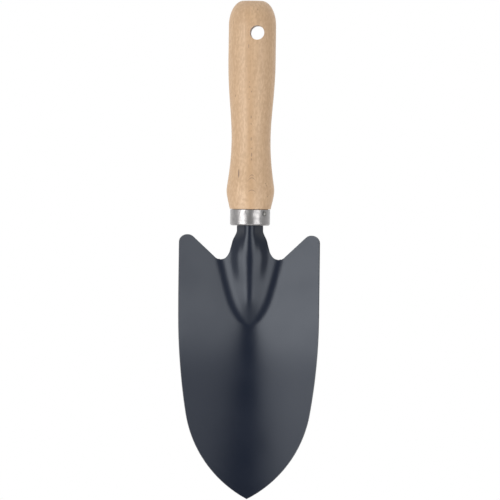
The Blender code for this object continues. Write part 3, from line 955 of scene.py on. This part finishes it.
def drawn_out(tree, place, stretch, values, low, high, location=(0.0, 0.0, 0.0)):
    """A noise of given scale, detail and roughness, drawn out along the grain, as a mask."""
    stretched = add_mapping(tree, place, location=location, scale=(1.0, 1.0, stretch))
    return add_range(tree, add_noise(tree, stretched, *values), low, high)


RING_WIDTH = 0.0021
WAVE_PERIOD = 0.314
RING_TILT = (math.radians(1.6), math.radians(0.5), 0.0)
heart = add_mapping(tree, place, location=(0.004, 0.052, 0.0), rotation=RING_TILT)
waver = {"Distortion": 3.0, "Detail": 2.0, "Detail Scale": 0.35}
rings = add_node(tree, "TexWave", {"Vector": heart, "Scale": WAVE_PERIOD / RING_WIDTH, **waver})
rings.wave_type = "RINGS"
rings.rings_direction = "Z"
rings.wave_profile = "SAW"
ring_tone = add_range(tree, rings.outputs["Fac"], 0.35, 1.0)

fibres = drawn_out(tree, place, 0.05, (900.0, 4.0, 0.6), 0.30, 0.70)
bands = drawn_out(tree, place, 0.10, (170.0, 2.0), 0.30, 0.70)
clouds = drawn_out(tree, place, 0.35, (220.0, 3.0), 0.35, 0.68, location=(0.3, 0.1, 0.2))
mottle = drawn_out(tree, place, 0.5, (800.0, 2.0), 0.35, 0.65, location=(0.1, 0.4, 0.0))

# %% A browner strip of painted shade down the middle of the front and the back
SHADE_STRIP_PLACE = -0.0010
SHADE_STRIP_HEIGHT = 0.075
SHADE_STRIP_DRIFT = -0.028
SHADE_STRIP_WOBBLE = 0.0012
SHADE_STRIP_CORE = 0.0006
SHADE_STRIP_EDGE = 0.0034
axes = add_node(tree, "SeparateXYZ", {0: place}).outputs
off_shade_strip = add_math(tree, "MULTIPLY_ADD", axes["Z"], -SHADE_STRIP_DRIFT, axes["X"])
off_shade_strip = add_math(tree, "SUBTRACT", off_shade_strip, SHADE_STRIP_PLACE - SHADE_STRIP_HEIGHT * SHADE_STRIP_DRIFT)
off_shade_strip = add_math(tree, "ABSOLUTE", off_shade_strip)
off_shade_strip = add_math(tree, "MULTIPLY_ADD", mottle, SHADE_STRIP_WOBBLE, off_shade_strip)
# The strip is a mask of painted shade, darker down the middle of front and back.
strip = add_range(tree, off_shade_strip, SHADE_STRIP_CORE, SHADE_STRIP_EDGE, 1.0, 0.0)


# %% Flecks scattered by chance
FLECKS_OFF_SHADE_STRIP = 0.25


def add_flecks(tree, place, across, along, size, share, seed):
    """Scattered spindle-shaped flecks, some cells only, as a mask."""
    narrow = (1.0 / across, 1.0 / across, 1.0 / along)
    stretched = add_mapping(tree, place, location=(seed, 0.0, seed), scale=narrow)
    cells = add_node(tree, "TexVoronoi", {"Vector": stretched, "Scale": 1.0})
    spot = add_range(tree, cells.outputs["Distance"], 0.4 * size, size, 1.0, 0.0)
    pick = add_node(tree, "SeparateColor", {"Color": cells.outputs["Color"]})
    chosen = add_math(tree, "LESS_THAN", pick.outputs[0], share)
    return add_math(tree, "MULTIPLY", spot, chosen)


short_flecks = add_flecks(tree, place, 0.0011, 0.0032, 0.30, 0.30, 0.7)
near_shade_strip = add_math(tree, "MULTIPLY_ADD", strip, 1.0 - FLECKS_OFF_SHADE_STRIP, FLECKS_OFF_SHADE_STRIP)
short_flecks = add_math(tree, "MULTIPLY", short_flecks, near_shade_strip)
long_flecks = add_flecks(tree, place, 0.0040, 0.0130, 0.13, 0.12, 3.1)

# %% Marks of this piece of wood
# Each row is one mark on the front: its place across and above the ferrule's
# lower edge, its width and its length, all in metres, and how dark it is. The
# three small arches, where a ring is cut, also say how far their ends hang down.
MARK_VALUES = {"Across": 0.0, "Height": 0.0, "Width": 0.001, "Length": 0.001, "Dark": 0.5, "Arch": 0.0}
GRAIN_MARKS = [
    (-0.0018, 0.1128, 0.0010, 0.0032, 0.45),
    (-0.0011, 0.0902, 0.0008, 0.0012, 0.45),
    (-0.0008, 0.0871, 0.0009, 0.0013, 0.55),
    (0.0003, 0.0842, 0.0008, 0.0014, 0.60),
    (-0.0099, 0.0815, 0.0007, 0.0018, 0.45),
    (-0.0011, 0.0794, 0.0008, 0.0011, 0.45),
    (0.0003, 0.0682, 0.0008, 0.0026, 0.60),
    (0.0003, 0.0639, 0.0008, 0.0014, 0.60),
    (0.0005, 0.0545, 0.0010, 0.0030, 0.50),
    (0.0007, 0.0484, 0.0010, 0.0014, 0.35),
    (0.0008, 0.0445, 0.0011, 0.0034, 0.60),
    (0.0008, 0.0416, 0.0010, 0.0020, 0.50),
    (-0.0071, 0.0327, 0.0010, 0.0070, 0.90),
    (0.0012, 0.0318, 0.0052, 0.0009, 0.50, 450.0),
    (0.0012, 0.0300, 0.0080, 0.0009, 0.45, 300.0),
    (0.0013, 0.0223, 0.0064, 0.0009, 0.50, 220.0),
    (0.0097, 0.0265, 0.0007, 0.0010, 0.60),
    (0.0103, 0.0252, 0.0007, 0.0010, 0.60),
    (0.0110, 0.0183, 0.0007, 0.0010, 0.55),
]
mark, given, results = new_group("grain_mark", MARK_VALUES, ["Mask"])
axes = add_node(mark, "SeparateXYZ", {0: given["Place"]}).outputs
sideways = add_math(mark, "SUBTRACT", axes["X"], given["Across"])
hang = add_math(mark, "MULTIPLY", add_math(mark, "MULTIPLY", sideways, sideways), given["Arch"])
upwards = add_math(mark, "ADD", add_math(mark, "SUBTRACT", axes["Z"], given["Height"]), hang)
sideways = add_math(mark, "DIVIDE", sideways, given["Width"])
upwards = add_math(mark, "DIVIDE", upwards, given["Length"])
away = add_math(mark, "MULTIPLY_ADD", sideways, sideways, add_math(mark, "MULTIPLY", upwards, upwards))
spot = add_range(mark, away, 0.03, 0.25, 1.0, 0.0)
spot = add_math(mark, "MULTIPLY", spot, add_math(mark, "LESS_THAN", axes["Y"], 0.0))
mark.links.new(add_math(mark, "MULTIPLY", spot, given["Dark"]), results["Mask"])

marks = 0.0
for row in GRAIN_MARKS:
    one = add_group(tree, mark, place, **dict(zip(MARK_VALUES, row)))
    marks = add_math(tree, "MAXIMUM", one["Mask"], marks)
print("marks in the grain:", len(GRAIN_MARKS))

# %% The wood's colour and gloss
FIBRE_HEIGHT = 0.7
PALE = (0.744, 0.517, 0.325)
colour = add_mix(tree, fibres, PALE, (0.662, 0.448, 0.269))
for share, amount, darker in (
        (bands, 0.30, (0.575, 0.374, 0.220)),
        (ring_tone, 0.12, (0.500, 0.320, 0.182)),
        (clouds, 0.20, (0.550, 0.372, 0.238)),
        (mottle, 0.80, (0.560, 0.368, 0.218)),
        # The strip paints shade down the middle of the handle.
        (strip, 0.46, (0.555, 0.350, 0.197)),
        (short_flecks, 0.55, (0.370, 0.230, 0.140)),
        (long_flecks, 0.50, (0.280, 0.175, 0.110)),
        (marks, 1.00, (0.230, 0.150, 0.110))):
    colour = add_mix(tree, add_math(tree, "MULTIPLY", share, amount), colour, darker)
tree.links.new(colour, shader.inputs["Base Color"])
skin = add_group(tree, uneven, place, Grain_per_metre=1500.0, Patches_per_metre=70.0)
gloss = add_math(tree, "MULTIPLY_ADD", skin["Patches"], 0.08, 0.42)
tree.links.new(gloss, shader.inputs["Roughness"])
height = add_math(tree, "MULTIPLY_ADD", fibres, FIBRE_HEIGHT, skin["Height"])
hollow = add_math(tree, "ADD", long_flecks, marks)
add_bump(tree, shader, add_math(tree, "SUBTRACT", height, hollow), 0.00003, 0.5)
print("wood nodes:", len(tree.nodes))

# %% [markdown]
# ## Bright plating
#
# Ferrule and pin are bright plated steel, probably barrel plated: it mirrors
# softly, with a grain of small hollows. A pure mirror would show the room and
# nothing else, so Metallic stays at 0.8, and the last fifth gives the milky haze
# that such plating has. The colour is an almost neutral grey, and the life comes
# from the height and the roughness. The edge wear shows a slightly different
# grey where the plating is rubbed thin.

# %% The plating's materials
def make_plating(name, colour, dull, roughness, depth):
    """Bright plated steel with a soft mirror gloss."""
    material, tree, shader, place = start_material(name)
    skin = add_group(tree, uneven, place, Grain_per_metre=1100.0, Patches_per_metre=420.0)
    rub = add_group(tree, wear, place, Sharpness=0.58, Amount=0.7)
    tone = add_mix(tree, skin["Patches"], colour, dull)
    tree.links.new(add_mix(tree, rub["Mask"], tone, (0.42, 0.40, 0.38)), shader.inputs["Base Color"])
    shader.inputs["Metallic"].default_value = 0.8
    gloss = add_math(tree, "MULTIPLY_ADD", skin["Patches"], 0.08, roughness)
    tree.links.new(gloss, shader.inputs["Roughness"])
    add_bump(tree, shader, skin["Height"], depth, 0.6)
    return material


plating = make_plating("bright_plating", (0.45, 0.435, 0.43), (0.37, 0.36, 0.36), 0.29, 0.00005)
pin_plating = make_plating("pin_plating", (0.30, 0.29, 0.28), (0.24, 0.235, 0.225), 0.46, 0.00008)

# %% [markdown]
# ## Each piece takes its place
#
# Every piece rides on the trowel's one body, takes its finish, and stands for
# its node of the packed model, which is hidden.

# %% Dress the four nodes
for piece, node_name, slot_name, finish in (
        (blade_sheet, "blade", "painted_steel", coating),
        (handle_wood, "handle", "hardwood", wood),
        (ferrule_tube, "ferrule", "plated_steel", plating),
        (pin_rivet, "ferrule_pin", "plated_pin", pin_plating)):
    piece.data.materials.clear()
    piece.data.materials.append(finish)
    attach(piece, "root")
    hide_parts(node_name)
    print(piece.name, "stands for", node_name)

# %% [markdown]
# ## The studio
#
# The trowel hangs by its hole in front of a white background. Two tall softboxes
# stand in front of it, the right one 41 degrees and the left one 45 degrees to
# the side, and reach lower than the trowel does. The two slopes of the scoop
# face them, so they light up as even grey fields, while the crest, the valleys
# and the bottom of the scoop face the dark camera side and stay dark. That is
# what shows the form of a dark blade. The left softbox is the stronger.
#
# A world colour fills in the rest. The room is dim around the camera and
# brighter behind the trowel, above it and a little to the left, as in a studio
# with a white backdrop. The camera sees plain white, and so do mirrors and
# glass where they look at the backdrop.

# %% Softboxes
AIM_HEIGHT = (solid_low.z + solid_high.z) / 2
AIM = Vector((TOOL_ORIGIN.x, 0.0, AIM_HEIGHT))
VIEW_TURN = math.radians(1.8)
BOX_WIDTH = 0.80
BOX_HEIGHT = 1.44
BOX_DISTANCE = 1.3


def softbox(name, azimuth, radiance, lift):
    """A tall area light that faces the trowel from an azimuth, 0 in front and 90 to the right."""
    lamp = bpy.data.lights.new(name, "AREA")
    lamp.shape = "RECTANGLE"
    lamp.size = BOX_WIDTH
    lamp.size_y = BOX_HEIGHT
    lamp.energy = radiance * math.pi * BOX_WIDTH * BOX_HEIGHT
    obj = bpy.data.objects.new(name, lamp)
    studio.objects.link(obj)
    turn = math.radians(azimuth) + VIEW_TURN
    obj.location = AIM + Vector((BOX_DISTANCE * math.sin(turn), -BOX_DISTANCE * math.cos(turn), lift))
    obj.rotation_euler = (math.radians(90.0), 0.0, turn)
    obj.visible_camera = False


softbox("softbox_left", -44.8, 4.10, -0.39)
softbox("softbox_right", 41.0, 2.80, -0.40)

# %% The room around it
world = bpy.data.worlds.new("studio_room")
bpy.context.scene.world = world
world.use_nodes = True
tree = world.node_tree
direction = tree.nodes.new("ShaderNodeTexCoord").outputs["Generated"]
axes = add_node(tree, "SeparateXYZ", {0: direction}).outputs
behind = add_math(tree, "MULTIPLY_ADD", axes["X"], -0.12, axes["Y"])
room = add_range(tree, behind, -0.9, 0.4, 0.11, 0.61)
ceiling = add_range(tree, axes["Z"], 0.35, 1.0, 0.0, 0.68)
brightness = add_math(tree, "ADD", room, ceiling)
backdrop = add_range(tree, behind, 0.46, 0.78)
paths = tree.nodes.new("ShaderNodeLightPath").outputs
mirrored = add_math(tree, "MULTIPLY", paths["Is Glossy Ray"], backdrop)
seen = add_math(tree, "MAXIMUM", paths["Is Camera Ray"], paths["Is Transmission Ray"])
white = add_math(tree, "MAXIMUM", seen, mirrored)
sky = add_mix(tree, white, brightness, (1.0, 1.0, 1.0))
tree.links.new(sky, tree.nodes["Background"].inputs["Color"])
print("world nodes:", len(tree.nodes))

# %% [markdown]
# ## The floor
#
# The trowel hangs a hand's breadth above a plain pale floor. A square plate
# would show its corners from the sides, so the floor is a disc whose rim fades
# out. It lies below the picture in the front view and carries the soft shadow in
# the others. From below it is clear, so that the trowel can be seen from there.

# %% A pale disc with a soft rim
FLOOR_RADIUS = 0.26
FLOOR_DROP = 0.05
FLOOR_STEPS = 128
FADE_START = 0.45 * FLOOR_RADIUS
FADE_END = 0.98 * FLOOR_RADIUS
bm = bmesh.new()
bmesh.ops.create_circle(bm, cap_ends=True, segments=FLOOR_STEPS, radius=FLOOR_RADIUS)
floor = piece_from(bm, "studio_floor", studio)
floor.location = (TOOL_ORIGIN.x, 0.0, solid_low.z - FLOOR_DROP)

pale_floor, tree, shader, place = start_material("pale_floor")
distance = add_node(tree, "VectorMath", {0: place})
distance.operation = "LENGTH"
mottle = add_group(tree, uneven, place, Grain_per_metre=300.0, Patches_per_metre=8.0)
tone = add_mix(tree, mottle["Patches"], (0.86, 0.86, 0.85), (0.89, 0.89, 0.88))
tree.links.new(tone, shader.inputs["Base Color"])
shader.inputs["Roughness"].default_value = 0.9
fade = add_range(tree, distance.outputs["Value"], FADE_START, FADE_END, 1.0, 0.0)
below = tree.nodes.new("ShaderNodeNewGeometry").outputs["Backfacing"]
above = add_math(tree, "SUBTRACT", 1.0, below)
tree.links.new(add_math(tree, "MULTIPLY", fade, above), shader.inputs["Alpha"])
floor.data.materials.append(pale_floor)
print("floor at height, mm:", round(1000 * floor.location.z, 1))

# %% [markdown]
# ## The camera
#
# The camera looks at the trowel from far enough away that nothing spreads. It
# stands almost square on, less than two degrees to the right, because the middle
# of the scoop shows slightly off centre. It is also rolled by less than a
# degree, because the trowel in the picture hangs a little off plumb. The lamps
# turn with it, so the light falls as the camera expects.

# %% Place the camera
CAMERA_DISTANCE = 6.0
FIELD_WIDTH = 0.3150
SENSOR_WIDTH = 36.0
CAMERA_SHIFT = Vector((0.0002, 0.0, 0.0))
CAMERA_ROLL = math.radians(0.72)
camera_data = bpy.data.cameras.new("studio_camera")
camera_data.sensor_width = SENSOR_WIDTH
camera_data.lens = SENSOR_WIDTH * CAMERA_DISTANCE / FIELD_WIDTH
camera = bpy.data.objects.new("studio_camera", camera_data)
studio.objects.link(camera)
view_line = Vector((math.sin(VIEW_TURN), -math.cos(VIEW_TURN), 0.0))
camera.location = AIM + view_line * CAMERA_DISTANCE + CAMERA_SHIFT
level = Euler((math.radians(90.0), 0.0, VIEW_TURN)).to_matrix().to_4x4()
camera.rotation_euler = (level @ Matrix.Rotation(CAMERA_ROLL, 4, "Z")).to_euler()
bpy.context.scene.camera = camera
bpy.context.scene.view_settings.view_transform = "Standard"
print("lens, mm:", round(camera_data.lens, 1))
